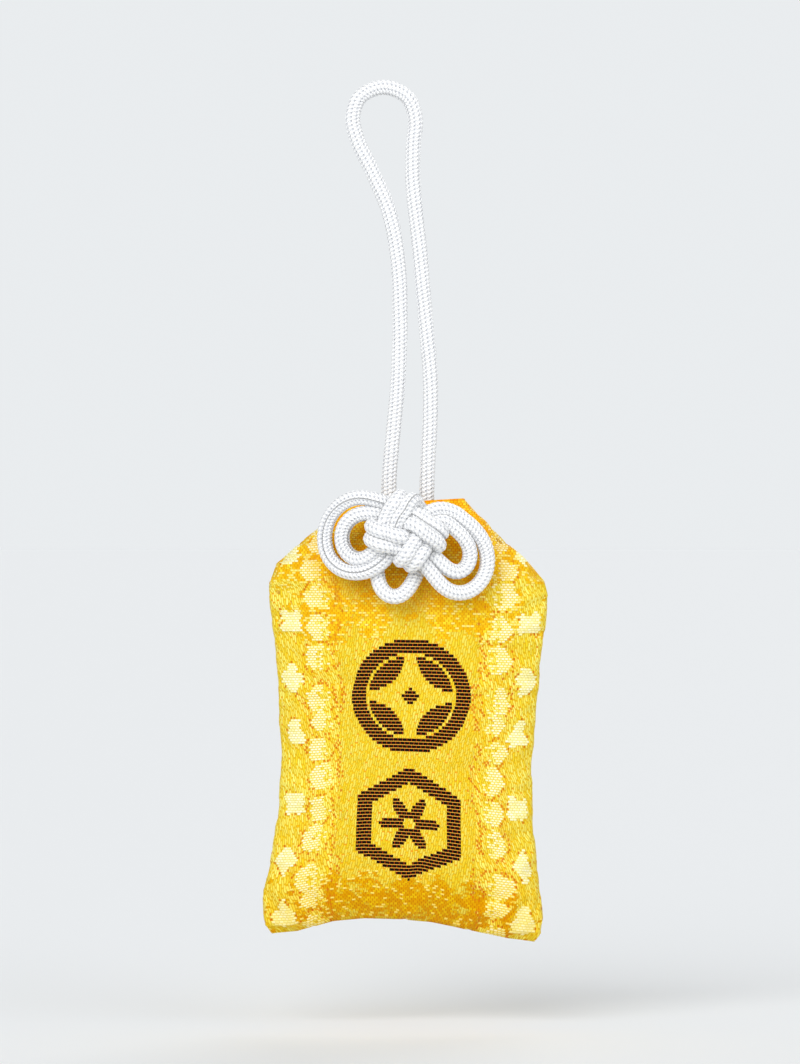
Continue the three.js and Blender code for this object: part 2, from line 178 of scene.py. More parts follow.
# A round braid: columns of V stitches that turn slowly round the cord, with pinholes where two columns meet.
# "turn" is in columns to the millimetre, and "stitch" is a stitch's length in mm.
braid = {"columns": 8, "turn": 0.35 / 9, "stitch": 0.56, "relief": 0.055 * mm, "step": 0.115 * mm, "sides": 32}
twist = {"turn": 1.3 * mm, "least": 0.72, "step": 0.12 * mm, "sides": 14}


def braidedTube(name, line, radius, material):
    def surface(angle, along):
        column = angle * braid["columns"] + along / mm * braid["turn"]
        s = 2 * (column - np.floor(column)) - 1
        beat = along / (braid["stitch"] * mm)
        phase = beat + 0.5 * np.abs(s) + 0.5 * (np.floor(column) % 2)
        stitch = np.abs(np.cos(np.pi * phase)) ** 0.8
        nearest = np.round(column)
        beat = beat + 0.5 * (nearest % 2)
        pinhole = np.exp(-(((column - nearest) / 0.2) ** 2) - ((beat - np.round(beat)) / 0.22) ** 2)
        return radius + braid["relief"] * (1.5 * stitch * (1 - 0.45 * np.abs(s) ** 3) - 1.1 - pinhole), stitch

    return sweptTube(name, line, surface, material, braid["step"], braid["sides"])


def twistedThread(name, line, radius, material):
    def surface(angle, along):
        ply = np.abs(np.cos(2 * np.pi * (angle + along / twist["turn"])))
        return radius * (twist["least"] + (1 - twist["least"]) * ply), ply

    return sweptTube(name, line, surface, material, twist["step"], twist["sides"])


# Nodes are made by short calls that return output sockets
class Nodes:
    def __init__(self, tree):
        self.tree = tree

    def make(self, kind, **inputs):
        node = self.tree.nodes.new(kind)
        for key, value in inputs.items():
            setattr(node, key, value)
        return node

    def feed(self, socket, value):
        if isinstance(value, bpy.types.NodeSocket):
            self.tree.links.new(value, socket)
        else:
            socket.default_value = value

    def math(self, operation, a, b=0.0, c=0.0):
        node = self.make("ShaderNodeMath", operation=operation)
        for socket, value in zip(node.inputs, (a, b, c)):
            self.feed(socket, value)
        return node.outputs[0]

    def add(self, a, b):
        return self.math("ADD", a, b)

    def minus(self, a, b):
        return self.math("SUBTRACT", a, b)

    def times(self, a, b):
        return self.math("MULTIPLY", a, b)

    def divide(self, a, b):
        return self.math("DIVIDE", a, b)

    # half a cell for every second row
    def stagger(self, row):
        return self.times(self.math("FLOORED_MODULO", row, 2), 0.5)

    def size(self, value):
        return self.math("ABSOLUTE", value)

    def over(self, value, least):
        return self.math("GREATER_THAN", value, least)

    def under(self, value, most):
        return self.math("LESS_THAN", value, most)

    def larger(self, a, b):
        return self.math("MAXIMUM", a, b)

    def split(self, vector):
        node = self.make("ShaderNodeSeparateXYZ")
        self.feed(node.inputs[0], vector)
        return node.outputs

    def attribute(self, name):
        return self.split(self.make("ShaderNodeAttribute", attribute_name=name).outputs["Vector"])

    def place(self):
        return self.split(self.make("ShaderNodeTexCoord").outputs["Object"])

    def vector(self, x, y, z=0.0):
        node = self.make("ShaderNodeCombineXYZ")
        for socket, value in zip(node.inputs, (x, y, z)):
            self.feed(socket, value)
        return node.outputs[0]

    def noise(self, vector, scale, detail=2.0):
        node = self.make("ShaderNodeTexNoise")
        self.feed(node.inputs["Vector"], vector)
        node.inputs["Scale"].default_value = scale
        node.inputs["Detail"].default_value = detail
        return node.outputs["Fac"]

    def random(self, vector):
        node = self.make("ShaderNodeTexWhiteNoise", noise_dimensions="3D")
        self.feed(node.inputs["Vector"], vector)
        return node.outputs["Value"]

    def ramp(self, value, low, high, a=0.0, b=1.0):
        node = self.make("ShaderNodeMapRange", interpolation_type="SMOOTHSTEP")
        keys = ("Value", "From Min", "From Max", "To Min", "To Max")
        for key, number in zip(keys, (value, low, high, a, b)):
            self.feed(node.inputs[key], number)
        return node.outputs[0]

    def mix(self, share, a, b):
        node = self.make("ShaderNodeMix", data_type="RGBA")
        self.feed(node.inputs[0], share)
        self.feed(node.inputs[6], a)
        self.feed(node.inputs[7], b)
        return node.outputs[2]

    def cell(self, value, size, shift=0.0):
        place = self.add(self.divide(value, size), shift)
        return self.math("FLOOR", place), self.math("FRACT", place)

    # 1 in the middle of a cell, from top inwards, and 0 from foot outwards
    def hump(self, value, foot, top):
        return self.ramp(self.size(self.minus(value, 0.5)), foot, top)

    def within(self, value, low, high):
        return self.times(self.over(value, low), self.under(value, high))

    def far(self, x, y):
        return self.math("SQRT", self.add(self.times(x, x), self.times(y, y)))

    def tint(self, a, b):
        node = self.make("ShaderNodeMix", data_type="RGBA", blend_type="MULTIPLY")
        for socket, value in zip((node.inputs[0], node.inputs[6], node.inputs[7]), (1.0, a, b)):
            self.feed(socket, value)
        return node.outputs[2]

    def bump(self, height, distance, strength=1.0):
        node = self.make("ShaderNodeBump")
        self.feed(node.inputs["Height"], height)
        node.inputs["Distance"].default_value = distance
        node.inputs["Strength"].default_value = strength
        return node.outputs[0]


class Look(Nodes):
    def __init__(self, name):
        self.material = bpy.data.materials.new(name)
        self.material.use_nodes = True
        super().__init__(self.material.node_tree)
        self.shader = self.tree.nodes["Principled BSDF"]

    def fibres(self, size, stretch=1.0):
        node = self.make("ShaderNodeGroup", node_tree=fibreGroup)
        node.inputs["Size"].default_value = size
        node.inputs["Stretch"].default_value = stretch
        return node.outputs["Mottle"], node.outputs["Fibres"]

    def finish(self, color, roughness, normal=None, **others):
        self.feed(self.shader.inputs["Base Color"], color)
        self.feed(self.shader.inputs["Roughness"], roughness)
        if normal is not None:
            self.feed(self.shader.inputs["Normal"], normal)
        for key, value in others.items():
            self.feed(self.shader.inputs[key.replace("_", " ")], value)
        return self.material


# Blotches and long fibres of a size in mm, shared by cord, card, paper, wood and wadding
def makeFibreGroup():
    tree = bpy.data.node_groups.new("fibres", "ShaderNodeTree")
    for name in ("Size", "Stretch"):
        tree.interface.new_socket(name, in_out="INPUT", socket_type="NodeSocketFloat").default_value = 1
    for name in ("Mottle", "Fibres"):
        tree.interface.new_socket(name, in_out="OUTPUT", socket_type="NodeSocketFloat")
    n = Nodes(tree)
    given, result = n.make("NodeGroupInput").outputs, n.make("NodeGroupOutput").inputs
    x, y, z = (n.divide(n.divide(axis, mm), given["Size"]) for axis in n.place())
    n.feed(result["Mottle"], n.noise(n.vector(x, y, z), 1.0, 4))
    bend = n.times(n.noise(n.vector(x, y, z), 0.5, 1), 3)
    strands = n.vector(n.add(x, bend), y, n.divide(z, given["Stretch"]))
    n.feed(result["Fibres"], n.noise(strands, 5.0, 3))
    return tree


fibreGroup = makeFibreGroup()


def cordMaterial():
    n = Look("white_cord")
    around, along, _ = n.attribute("braid")
    column = n.add(n.times(around, braid["columns"]), n.times(along, braid["turn"]))
    index = n.math("FLOOR", column)
    s = n.size(n.minus(n.times(n.math("FRACT", column), 2), 1))
    beat = n.divide(along, braid["stitch"])
    phase = n.add(n.add(beat, n.times(s, 0.5)), n.stagger(index))
    wave = n.size(n.math("COSINE", n.times(phase, math.pi)))
    edge = n.minus(1, n.times(n.math("POWER", s, 6), 0.4))
    stitch = n.times(n.math("POWER", wave, 0.6), edge)
    fibres = n.noise(n.vector(n.times(phase, 1.2), n.times(s, 9), index), 3.0)
    nearest = n.math("FLOOR", n.add(column, 0.5))
    onBeat = n.minus(n.math("FRACT", n.add(n.add(beat, n.stagger(nearest)), 0.5)), 0.5)
    reach = n.far(n.divide(n.minus(column, nearest), 0.25), n.divide(onBeat, 0.27))
    pinhole = n.ramp(reach, 1.2, 0.3)
    height = n.minus(n.add(stitch, n.times(fibres, 0.3)), pinhole)
    fine = n.mix(n.ramp(fibres, 0.3, 0.7), (0.94, 0.945, 0.95, 1), (0.98, 0.98, 0.975, 1))
    # Painted shade: grey-blue in the grooves between stitches and darker grey-blue in the pinholes.
    color = n.mix(n.ramp(stitch, 0.0, 0.6), (0.72, 0.74, 0.78, 1), fine)
    color = n.mix(n.times(pinhole, 0.62), color, (0.47, 0.5, 0.59, 1))
    mottle, _ = n.fibres(6.0)
    color = n.mix(n.ramp(mottle, 0.4, 0.75, 0.0, 0.35), color, n.tint(color, (0.95, 0.95, 0.97, 1)))
    return n.finish(color, 0.5, n.bump(height, 0.1 * mm, 1.0), Sheen_Weight=0.2, Sheen_Roughness=0.4)


whiteCord = cordMaterial()

# The standing cord's route in mm: from one hole out of the mouth, round the hook and back to the other hole
standRoute = [
    (0.67, -2.35, -59.4), (0.67, -1.6, -59.3), (0.68, -0.6, -58.7), (0.7, -0.05, -57.6), (0.7, 0, -55.8),
    (0.75, 0, -53.6), (1.2, 0, -48.6), (1.85, 0, -42), (2.2, 0, -35.4), (2.25, 0, -31),
    (2, 0, -23.6), (0.75, 0, -16.6), (-1.75, 0, -10.6), (-3.7, 0, -6.4), (-4.38, 0, -3.2), (-3.3, 0, -0.25),
    (0, 0, 1.08), (3.25, 0, -0.3), (4.4, 0, -3.2), (4.15, 0, -7.2), (4.05, 0, -11.4), (4.45, 0, -16.4),
    (5, 0, -21.4), (5.5, 0, -27.4), (6.1, 0, -34), (6.55, 0, -40), (6.5, 0, -46), (6.2, 0, -51.6),
    (6.05, 0, -55.8), (6.06, -0.05, -57.6), (6.07, -0.6, -58.7), (6.07, -1.6, -59.3), (6.07, -2.35, -59.4),
]

# The knot's route: sideways and up in shares of its pitch, then depth in layers with the front ones below 0
pitch, layer = 2.155, 1.9
knotShares = [
    (-1.22, 0.75, 3.1), (-1.2, 0.7, 2.6), (-1, 0.1, 2.15), (-0.85, -0.6, 2.1), (-0.8, -1.2, 1.5),
    (-0.62, -1.4, 0.4), (-0.4, -1.22, -0.65), (-0.05, -0.95, -1), (0.35, -0.62, -0.85),
    (0.5, -0.15, -0.1), (0.58, 0.3, 0.1), (0.9, 0.72, 0.15),
    # the right ear's outer turn
    (1.45, 0.95, 0.2), (2.1, 0.97, 0.25), (2.8, 0.9, 0.3), (3.55, 0.65, 0.3),
    (4.33, 0.05, 0.4), (4.99, -0.85, 0.6), (5.27, -1.9, 0.8),
    (5.15, -2.95, 0.8), (4.53, -3.85, 0.7), (3.61, -4.35, 0.6),
    (2.63, -4.2, 0.4), (1.85, -3.4, 0.2), (1.45, -2.5, 0.1),
    (1.15, -1.8, 0.1), (0.65, -1.35, 0.1), (0.1, -1.05, 0), (-0.5, -0.98, -0.6),
    (-1.05, -0.84, -1.05), (-1.45, -0.72, -0.75), (-1.75, -0.65, 0.2),
    # the lower bar of the cross behind
    (-1.4, -0.5, 1.05), (-0.8, -0.5, 1.2), (0.2, -0.7, 1.2), (1, -0.95, 1.15),
    (1.45, -1.15, 0.9), (1.65, -1.1, 0), (1.45, -0.95, -0.75), (1.05, -0.58, -1), (0.6, -0.15, -1),
    (0.15, 0.15, -0.75), (-0.35, 0.2, -0.05), (-0.95, 0.35, 0.15), (-1.55, 0.65, 0.15),
    # the left ear's inner turn
    (-2.25, 1.12, 0.1), (-3.05, 1.12, 0.2), (-3.75, 0.8, 0.3), (-4.25, 0.2, 0.4),
    (-4.42, -0.55, 0.5), (-4.3, -1.3, 0.6), (-3.85, -1.9, 0.5),
    (-3.25, -2.3, 0.4), (-2.6, -2.15, 0.2), (-2.05, -1.65, 0.1),
    (-1.5, -1, 0.1), (-1.3, -0.4, 0.05), (-1.3, 0.1, -0.4), (-1.15, 0.55, -0.95),
    (-0.85, 0.95, -0.85), (-0.55, 1.2, 0.2),
    # down behind, round the bottom loop and up again
    (-0.7, 1.25, 1.3), (-1.2, 1.15, 2.1), (-1.75, 0.7, 2.15),
    (-1.9, -0.3, 2.15), (-1.95, -1.6, 2), (-2, -2.4, 1.4),
    (-2.05, -3.2, 0.9), (-1.75, -4.15, 0.7), (-1.03, -4.68, 0.6), (-0.3, -4.5, 0.7), (0.2, -3.8, 0.9),
    (0.55, -3, 1.3), (0.95, -2.1, 1.9), (1.35, -1, 2.15),
    (1.8, 0, 2.15), (1.7, 0.8, 2.15), (1.15, 1.3, 1.9),
    (0.6, 1.1, 1), (0.38, 1, 0), (0.1, 0.8, -0.85), (-0.28, 0.45, -1),
    (-0.6, 0.1, -0.6), (-0.65, -0.45, 0), (-0.85, -1.2, 0.1), (-1.4, -1.95, 0.1),
    # the left ear's outer turn
    (-2.1, -2.5, 0.2), (-2.9, -2.88, 0.3), (-3.75, -2.97, 0.5),
    (-4.65, -2.6, 0.6), (-5.3, -1.8, 0.7), (-5.47, -0.75, 0.7),
    (-5.34, 0.36, 0.6), (-4.75, 1.34, 0.4), (-3.71, 2.02, 0.2), (-2.75, 2.15, 0.1), (-1.95, 1.75, 0.1),
    (-1.25, 1.05, 0.15), (-0.55, 0.75, 0.1), (0.1, 0.75, -0.35), (0.65, 0.78, -0.95),
    (1.15, 0.5, -1.05), (1.6, 0, -0.8), (1.9, -0.4, 0.1),
    # the upper bar of the cross behind
    (1.5, -0.15, 1.15), (0.8, 0.25, 1.2), (-0.2, 0.45, 1.2), (-0.95, 0.35, 1.15),
    (-1.5, 0.25, 0.9), (-1.75, 0.15, 0.1), (-1.5, 0.1, -0.7), (-1.05, -0.12, -1),
    (-0.6, -0.38, -0.95), (-0.05, -0.45, -0.3), (0.5, -0.55, 0.1), (1.2, -1, 0.1),
    # the right ear's inner turn
    (1.75, -1.6, 0.1), (2.2, -2.35, 0.2), (2.75, -2.95, 0.3), (3.35, -3.1, 0.5),
    (3.85, -2.75, 0.6), (4.15, -2.1, 0.6), (4.2, -1.4, 0.5),
    (3.95, -0.85, 0.3), (3.4, -0.2, 0.1), (2.75, 0.2, 0.1), (2.1, 0.35, 0.1),
    (1.5, 0.3, 0.1), (1.22, -0.15, 0), (1.15, -0.6, -0.4), (0.95, -1.15, -0.95),
    (0.65, -1.5, -0.8), (0.42, -1.75, 0.2),
    (0.15, -1.6, 1.3), (0.1, -1, 2.1), (0.45, -0.3, 2.15),
    (1.05, 0.45, 2.25), (1.26, 0.7, 2.6), (1.26, 0.75, 3.1),
]


# Turns of the knot that lie too close are pushed apart, while the ears stay where they were laid. Then the knot
# is only smoothed, its ears lean back to the cloth, and it is set down on its place.
easing = {
    "step": 0.9, "least": 1.8, "neighbours": 5, "rounds": 400, "settleFrom": 0.7, "push": 0.9,
    "smooth": 0.15, "settle": 0.03, "ears": (2.5, -2.9), "earHold": 0.45, "hold": 0.02,
    "lean": 1.7, "half": 5.4, "place": (3.35, -9.5, -61.05),
}


def easedKnot():
    laid = [(x * pitch, depth * layer, z * pitch) for x, z, depth in knotShares]
    home, _ = evenly(splinePoints(laid), easing["step"])
    aside, below = easing["ears"]
    far = (np.abs(home[:, 0]) > aside * pitch) | (home[:, 2] < below * pitch)
    hold = np.where(far, easing["earHold"], easing["hold"])[1:-1, None]
    first, second = np.triu_indices(len(home), easing["neighbours"])
    least, rounds = easing["least"], easing["rounds"]
    line = home.copy()
    for r in range(rounds):
        apart = line[second] - line[first]
        length = np.linalg.norm(apart, axis=1)
        near = length < least
        a, b = first[near], second[near]
        push = apart[near] / np.maximum(length[near], 1e-6)[:, None] * ((least - length[near]) / 2)[:, None]
        move, count = np.zeros_like(line), np.zeros(len(line))
        np.add.at(move, a, -push)
        np.add.at(move, b, push)
        np.add.at(count, a, 1)
        np.add.at(count, b, 1)
        line = line + move / np.maximum(count, 1)[:, None] * easing["push"]
        middle = (line[:-2] + line[2:]) / 2 - line[1:-1]
        eased = line.copy()
        settles = r >= rounds * easing["settleFrom"]
        eased[1:-1] += easing["settle" if settles else "smooth"] * middle
        if not settles:
            eased[1:-1] += hold * (home - line)[1:-1]
        line = eased
        line[:2], line[-2:] = home[:2], home[-2:]
    line[:, 1] += easing["lean"] * (np.abs(line[:, 0]) / (easing["half"] * pitch)) ** 2
    return (line + easing["place"]) * mm


# Radii in mm: the knot is drawn a little tighter. Its ends go on into the cloth by the last measure.
cord = {"standing": 1.075, "knotted": 1.06, "ends": 1.6}


def makeCords():
    line = splinePoints(np.array(standRoute) * mm)
    stand, length = braidedTube("standing_cord", line, cord["standing"] * mm, whiteCord)
    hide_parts("hanging_loop", "left_cord_stem", "right_cord_stem")
    path, _ = evenly(line, 1 * mm)
    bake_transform(stand)
    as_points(path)
    print("standing cord", round(length, 4))
    knot = easedKnot()
    # both ends go on through the holes, where they meet the strands from the mouth
    ends = knot[[0, -1]] + np.array((0, cord["ends"], 0)) * mm
    knotLine = splinePoints(np.vstack([ends[:1], knot, ends[1:]]), 8)
    body, knotLength = braidedTube("double_wish_knot", knotLine, cord["knotted"] * mm, whiteCord)
    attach(body, "knot")
    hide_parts("wish_knot")
    print("knot", round(knotLength, 4))


makeCords()


# The pouch's outline in shares: heights from the bottom fold, how far each side stands out and its depth there.
# Its bottom edge rises towards the middle. The slack is how far the cloth stands out past its seams.
outline = {
    "slack": (0.008, 0.024),
    "height": (0, 0.02, 0.05, 0.1, 0.16, 0.27, 0.4, 0.52, 0.63, 0.71, 0.78, 0.815, 0.86, 0.9, 0.94, 0.98, 1),
    "left": (
        0.97, 1.012, 1.03, 1.02, 0.98, 0.92, 0.89, 0.91, 0.925, 0.96, 0.98, 0.985, 0.925, 0.79, 0.65, 0.5, 0.43,
    ),
    "right": (
        0.93, 0.97, 0.98, 0.97, 0.945, 0.91, 0.9, 0.935, 0.965, 1.0, 1.025, 0.99, 0.865, 0.725, 0.6, 0.47, 0.42,
    ),
    "depth": (0.2, 0.42, 0.6, 0.78, 0.89, 0.98, 1, 1, 0.97, 0.92, 0.85, 0.81, 0.76, 0.7, 0.62, 0.54, 0.5),
    "across": (-1, -0.8, -0.53, -0.3, -0.05, 0.2, 0.49, 0.78, 1),
    "rise": (-0.05, 0.15, 0.8, 1, 0.95, 0.74, 0.2, -0.33, -0.6),
}
# In mm, apart from the flatness of its curves and the shares of the height that the lining and slopes start at
pouch = {
    "middle": 2.95, "width": 38.8, "height": 61.0, "mouth": -57.0, "front": 4.9, "back": 4.2,
    "frontFlatness": 3, "backFlatness": 7, "rise": 2.1, "fall": 0.5, "sag": 0.55,
    "wall": 0.5, "lining": 0.74, "slope": 0.8, "strip": 20.0,
    "columns": 96, "rows": 150, "liningRows": 30, "rim": (0.35, 0.8, 1.2, 1.57, 2.0, 2.5, 3.14),
}


# A point of the pouch: across from -1 to 1, up from 0 at the bottom fold to 1 at the mouth, inset in mm
def pouchSurface(across, up, front, inset=0.0):
    halfLeft = np.interp(up, outline["height"], outline["left"]) + outline["slack"][0]
    halfRight = np.interp(up, outline["height"], outline["right"]) + outline["slack"][1]
    half = np.where(across < 0, halfLeft, halfRight) * pouch["width"] / 2 - inset
    flatness = pouch["frontFlatness" if front else "backFlatness"]
    full = pouch["front" if front else "back"] * np.interp(up, outline["height"], outline["depth"]) - inset
    depth = full * np.sqrt(np.clip(1 - np.abs(across) ** flatness, 0, 1))
    rise = pouch["rise"] * np.interp(across, outline["across"], outline["rise"]) * (1 - up) ** 2
    fall = (pouch["fall"] * across - pouch["sag"]) * up**6
    x = pouch["middle"] + across * half
    z = pouch["mouth"] - pouch["height"] + up * pouch["height"] + rise + fall
    return np.stack([x, -depth if front else depth, z], axis=-1)


# The brocade's design repeats up the cloth: flowers in whole cream cells near its sides, and beside them clusters
# that thin out towards the bare panel. Places are in mm, out from the cloth's middle and up from its zero.
cloth = {
    "tilt": 0.4, "zero": 88.0, "repeat": 25.6, "shift": -0.2,
    "topCloud": {"middle": 14.6, "half": 3.0, "reach": 15},
    "lowCloud": {"middle": -27.0, "half": 3.6, "reach": 14.5},
    "underKnot": {"u": 0.4, "v": 25, "wide": 15, "tall": 11.5},
    "flowers": (
        {"out": 16.6, "up": 13.8, "wide": 1.75, "tall": 1.6, "count": 4, "turn": 0.8, "lobes": 0.2},
        {"out": 16.8, "up": 5.7, "wide": 1.6, "tall": 1.85, "count": 4, "turn": 0.0, "lobes": 0.15},
        {"out": 16.5, "up": -1.9, "wide": 1.5, "tall": 1.75, "count": 3, "turn": 0.5, "lobes": 0.2},
    ),
    "clusters": (
        {"out": 12.2, "up": 12.8, "wide": 2.0, "tall": 1.9},
        {"out": 12.5, "up": 8.6, "wide": 2.2, "tall": 2.1},
        {"out": 12.6, "up": 2.8, "wide": 2.3, "tall": 2.1},
        {"out": 12.2, "up": -0.5, "wide": 1.9, "tall": 1.6},
        {"out": 12.9, "up": -4.4, "wide": 2.0, "tall": 1.7},
        {"out": 12.3, "up": -8.2, "wide": 2.2, "tall": 2.0},
    ),
}


# The sizes of the weave in mm: floats of the ground, cells of the figures, and dashes of the dark medallions
weave = {
    "floatWide": 0.33, "floatLong": 1.35, "cellWide": 0.56, "cellTall": 0.345, "rib": 0.23,
    "dashWide": 0.64, "dashTall": 0.487, "thread": 0.16, "panel": 9.7, "stem": 9.7,
}
medallion = {
    "shift": -0.7, "upper": 3.1, "lower": -15.4, "ring": 6.2, "stroke": 2.0, "gap": 0.4, "petal": 5.0,
    "heart": 1.3, "shell": 7.2, "bloom": 3.0, "petals": 6, "deep": 1.2, "eye": 0.85,
}


# Long floats side by side, each shifted against the next as in satin. In the panel they lean the other way.
def satinGround(n, u, v):
    inPanel = n.under(n.size(n.add(u, cloth["shift"])), weave["panel"])
    lean = n.minus(0.26, n.times(inPanel, 0.4))
    wander = n.noise(n.vector(u, n.times(v, 0.8), 4), 1.1, 1)
    wander = n.times(n.minus(wander, 0.5), 0.5)
    slanted = n.add(n.add(u, wander), n.times(v, lean))
    column, across = n.cell(slanted, weave["floatWide"])
    slip = n.times(n.random(n.vector(column, 0, 5)), 0.35)
    row, along = n.cell(v, weave["floatLong"], n.add(n.times(column, 0.375), slip))
    perFloat = n.random(n.vector(column, row, 3))
    bow = n.minus(1, n.math("POWER", n.size(n.minus(n.times(across, 2), 1)), 2))
    ends = n.times(n.ramp(along, 0.0, 0.2), n.ramp(along, 1.0, 0.78))
    height = n.times(n.math("POWER", bow, 0.6), n.add(n.times(ends, 0.85), 0.15))
    broad = n.noise(n.vector(u, v, 1), 0.16, 2)
    brightGold = n.mix(inPanel, (0.98, 0.93, 0.2, 1), (0.83, 0.73, 0.12, 1))
    deepGold = n.mix(inPanel, (0.86, 0.64, 0.022, 1), (0.79, 0.58, 0.02, 1))
    gold = n.mix(perFloat, deepGold, brightGold)
    gold = n.mix(n.ramp(broad, 0.3, 0.7), gold, n.mix(0.22, gold, (0.84, 0.46, 0.004, 1)))
    speck = n.over(perFloat, 0.93)
    # The gap colour is painted shade where each float dips at its sides and ends; the red specks in it are the
    # weave's own.
    gap = n.mix(speck, (0.76, 0.46, 0.008, 1), (0.78, 0.28, 0.006, 1))
    return n.mix(n.ramp(height, 0.15, 0.88), gap, gold), height, perFloat


# Dark figures in dashes like bricks: a ring of seven treasures, and a tortoiseshell with a flower below it
def darkMedallions(n, u, v):
    dashRow, inDashRow = n.cell(v, weave["dashTall"])
    dash, inDash = n.cell(u, weave["dashWide"], n.stagger(dashRow))
    thread, _ = n.cell(u, weave["thread"])
    mu = n.add(n.times(n.add(thread, 0.5), weave["thread"]), medallion["shift"])
    mv = n.times(n.add(dashRow, 0.5), weave["dashTall"])
    upperV = n.minus(mv, medallion["upper"])
    far = n.far(mu, upperV)
    ring = n.within(far, medallion["ring"], medallion["ring"] + medallion["stroke"])
    arc = medallion["ring"] - medallion["gap"]
    petals = 0.0
    for du, dv in ((arc, arc), (-arc, arc), (-arc, -arc), (arc, -arc)):
        circle = n.far(n.minus(mu, du), n.minus(upperV, dv))
        petals = n.add(petals, n.under(circle, medallion["petal"]))
    petals = n.times(n.over(petals, 0.5), n.under(far, arc))
    heart = n.under(n.add(n.size(mu), n.size(upperV)), medallion["heart"])
    upper = n.larger(n.larger(ring, petals), heart)
    lowerV = n.minus(mv, medallion["lower"])
    au, av = n.size(mu), n.size(lowerV)
    slant = n.add(n.times(au, 0.5), n.times(av, 0.866))
    shell = n.within(n.larger(au, slant), medallion["shell"] - medallion["stroke"], medallion["shell"])
    angle = n.times(n.math("ARCTAN2", lowerV, mu), medallion["petals"])
    bloom = n.add(n.times(n.math("COSINE", angle), medallion["deep"]), medallion["bloom"])
    fromEye = n.far(mu, lowerV)
    bloom = n.over(n.minus(bloom, fromEye), 0)
    bloom = n.minus(bloom, n.under(fromEye, medallion["eye"]))
    shape = n.larger(upper, n.larger(shell, bloom))
    bar = n.times(n.hump(inDashRow, 0.47, 0.35), n.hump(inDash, 0.5, 0.42))
    black = n.random(n.vector(dash, dashRow, 2))
    black = n.mix(black, (0.002, 0.001, 0.001, 1), (0.009, 0.003, 0.003, 1))
    between = n.mix(n.hump(inDashRow, 0.4, 0.3), (0.98, 0.5, 0.06, 1), (0.85, 0.06, 0.006, 1))
    return shape, bar, n.mix(bar, between, black)


